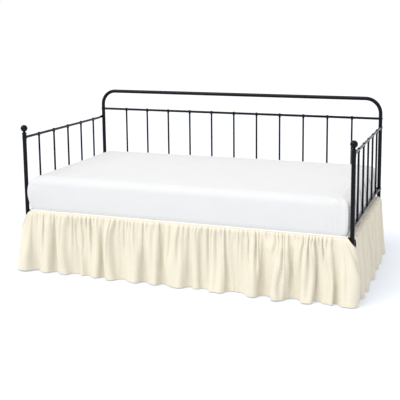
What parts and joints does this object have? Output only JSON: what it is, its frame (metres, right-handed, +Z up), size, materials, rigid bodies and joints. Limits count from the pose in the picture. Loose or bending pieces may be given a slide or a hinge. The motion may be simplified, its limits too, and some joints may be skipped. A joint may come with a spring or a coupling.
{
  "type": "ruffled bed skirt on a spindle daybed with its mattress",
  "caption": "Ivory gathered bed skirt with split corners, its platform held between a black spindle daybed's deck and a white mattress, falling in uneven folds to just above the floor.",
  "frame": {"origin": "on the floor under the middle of the bed", "axes": "+X along the bed to the right as seen from its open front, +Y from the open front to the back panel, +Z up"},
  "size_m": [2.0651, 1.128, 0.998],
  "materials": {
    "black_steel": "satin black powder coat",
    "glide": "matt black",
    "white_sheet": "white percale fitted sheet",
    "ivory_cloth": "ivory brushed plain weave"
  },
  "bodies": {
    "root": {"back_hoop": "black_steel", "back_mid_rail": "black_steel", "back_low_rail": "black_steel", "back_spindle_01": "black_steel", "back_spindle_02": "black_steel", "back_spindle_03": "black_steel", "back_spindle_04": "black_steel", "back_spindle_05": "black_steel", "back_spindle_06": "black_steel", "back_spindle_07": "black_steel", "back_spindle_08": "black_steel", "back_spindle_09": "black_steel", "back_spindle_10": "black_steel", "back_spindle_11": "black_steel", "left_post": "black_steel", "left_finial": "black_steel", "left_top_rail": "black_steel", "left_low_rail": "black_steel", "left_spindle_1": "black_steel", "left_spindle_2": "black_steel", "left_spindle_3": "black_steel", "left_spindle_4": "black_steel", "left_spindle_5": "black_steel", "deck_left_end_rail": "black_steel", "right_post": "black_steel", "right_finial": "black_steel", "right_top_rail": "black_steel", "right_low_rail": "black_steel", "right_spindle_1": "black_steel", "right_spindle_2": "black_steel", "right_spindle_3": "black_steel", "right_spindle_4": "black_steel", "right_spindle_5": "black_steel", "deck_right_end_rail": "black_steel", "deck_front_rail": "black_steel", "deck_back_rail": "black_steel", "deck_slat_1": "black_steel", "deck_slat_2": "black_steel", "deck_slat_3": "black_steel", "deck_slat_4": "black_steel", "deck_slat_5": "black_steel", "deck_slat_6": "black_steel", "deck_slat_7": "black_steel", "deck_slat_8": "black_steel", "foot_front_left": "glide", "foot_back_left": "glide", "foot_front_right": "glide", "foot_back_right": "glide", "mattress": "white_sheet", "platform": "ivory_cloth", "ruffle_front": "ivory_cloth", "ruffle_right": "ivory_cloth", "ruffle_back": "ivory_cloth", "ruffle_left": "ivory_cloth"}
  },
  "joints": []
}
